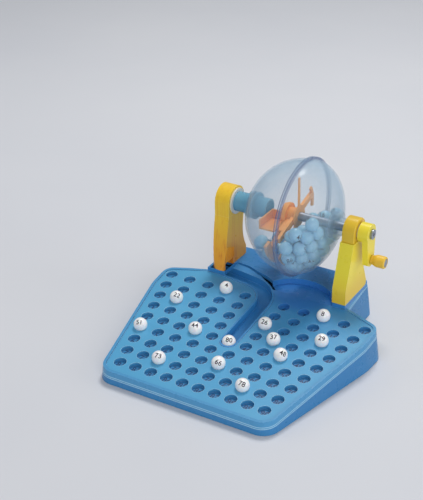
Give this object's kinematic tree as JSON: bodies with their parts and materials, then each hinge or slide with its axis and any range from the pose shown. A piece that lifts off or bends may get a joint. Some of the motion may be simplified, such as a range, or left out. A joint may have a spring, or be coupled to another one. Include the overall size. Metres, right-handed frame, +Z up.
{
  "type": "bingo cage",
  "caption": "Toy bingo cage: clear oval globe turned by a crank between two uprights, with an outlet tube, ball chute and sloping number board on a blue base.",
  "frame": {"origin": "centre of the base's footprint, on its underside", "axes": "+Z up, -Y towards the player, +X towards the crank"},
  "size_m": [0.225, 0.2423, 0.1518],
  "materials": {
    "tray_blue": "satin moulded",
    "board_blue": "satin moulded with printed digits",
    "chute_blue": "satin moulded",
    "platform_blue": "satin moulded",
    "tube_blue": "translucent",
    "clear_plastic": "clear polished",
    "amber_plastic": "satin moulded",
    "yellow_plastic": "satin moulded",
    "grip_plastic": "satin moulded",
    "orange_plastic": "satin moulded",
    "white_plastic": "plain",
    "ball_white": "polished with printed number",
    "steel": "plated"
  },
  "bodies": {
    "base": {"base_tray": "tray_blue", "ball_chute": "chute_blue", "number_board": "board_blue", "cage_platform": "platform_blue", "left_upright": "amber_plastic", "left_head": "amber_plastic", "tube_bush": "white_plastic", "right_upright": "yellow_plastic", "right_head": "yellow_plastic", "axle_bush": "white_plastic", "board_screws": "steel", "platform_screws": "steel", "upright_screws": "steel"},
    "cage": {"left_dome": "clear_plastic", "right_dome": "clear_plastic", "outlet_tube": "tube_blue", "tube_nut": "tube_blue", "drive_hub": "clear_plastic", "hub_nut": "clear_plastic", "drive_axle": "steel", "mixer_blade": "orange_plastic", "left_rake": "orange_plastic", "right_rake": "orange_plastic", "ball_ladle": "orange_plastic", "crank_arm": "yellow_plastic", "crank_screw": "steel", "grip_pin": "steel"},
    "grip": {"crank_grip": "grip_plastic"},
    "heap": {"cage_balls": "ball_white"},
    "last_ball": {"chute_ball": "ball_white"},
    "drawn_04": {"ball_04": "ball_white"},
    "drawn_08": {"ball_08": "ball_white"},
    "drawn_22": {"ball_22": "ball_white"},
    "drawn_26": {"ball_26": "ball_white"},
    "drawn_29": {"ball_29": "ball_white"},
    "drawn_37": {"ball_37": "ball_white"},
    "drawn_44": {"ball_44": "ball_white"},
    "drawn_48": {"ball_48": "ball_white"},
    "drawn_51": {"ball_51": "ball_white"},
    "drawn_66": {"ball_66": "ball_white"},
    "drawn_73": {"ball_73": "ball_white"},
    "drawn_78": {"ball_78": "ball_white"}
  },
  "joints": [
    {"name": "crank_turn", "type": "hinge", "parent": "base", "child": "cage", "pos_m": [0, 0.0775, 0.097], "axis": [1, 0, 0], "continuous": true},
    {"name": "grip_spin", "type": "hinge", "parent": "cage", "child": "grip", "pos_m": [0.0888, 0.0805, 0.0706], "axis": [1, 0, 0], "continuous": true},
    {"name": "heap_tumble", "type": "hinge", "parent": "base", "child": "heap", "pos_m": [0, 0.0775, 0.097], "axis": [1, 0, 0], "range_deg": [-20, 20]},
    {"name": "last_ball_roll", "type": "slide", "parent": "base", "child": "last_ball", "axis": [0, 0.9936, 0.1132], "range_m": [0, 0.055]},
    {"name": "lift_04", "type": "slide", "parent": "base", "child": "drawn_04", "axis": [0, -0.1132, 0.9936], "range_m": [0, 0.03]},
    {"name": "lift_08", "type": "slide", "parent": "base", "child": "drawn_08", "axis": [0, -0.1132, 0.9936], "range_m": [0, 0.03]},
    {"name": "lift_22", "type": "slide", "parent": "base", "child": "drawn_22", "axis": [0, -0.1132, 0.9936], "range_m": [0, 0.03]},
    {"name": "lift_26", "type": "slide", "parent": "base", "child": "drawn_26", "axis": [0, -0.1132, 0.9936], "range_m": [0, 0.03]},
    {"name": "lift_29", "type": "slide", "parent": "base", "child": "drawn_29", "axis": [0, -0.1132, 0.9936], "range_m": [0, 0.03]},
    {"name": "lift_37", "type": "slide", "parent": "base", "child": "drawn_37", "axis": [0, -0.1132, 0.9936], "range_m": [0, 0.03]},
    {"name": "lift_44", "type": "slide", "parent": "base", "child": "drawn_44", "axis": [0, -0.1132, 0.9936], "range_m": [0, 0.03]},
    {"name": "lift_48", "type": "slide", "parent": "base", "child": "drawn_48", "axis": [0, -0.1132, 0.9936], "range_m": [0, 0.03]},
    {"name": "lift_51", "type": "slide", "parent": "base", "child": "drawn_51", "axis": [0, -0.1132, 0.9936], "range_m": [0, 0.03]},
    {"name": "lift_66", "type": "slide", "parent": "base", "child": "drawn_66", "axis": [0, -0.1132, 0.9936], "range_m": [0, 0.03]},
    {"name": "lift_73", "type": "slide", "parent": "base", "child": "drawn_73", "axis": [0, -0.1132, 0.9936], "range_m": [0, 0.03]},
    {"name": "lift_78", "type": "slide", "parent": "base", "child": "drawn_78", "axis": [0, -0.1132, 0.9936], "range_m": [0, 0.03]}
  ]
}
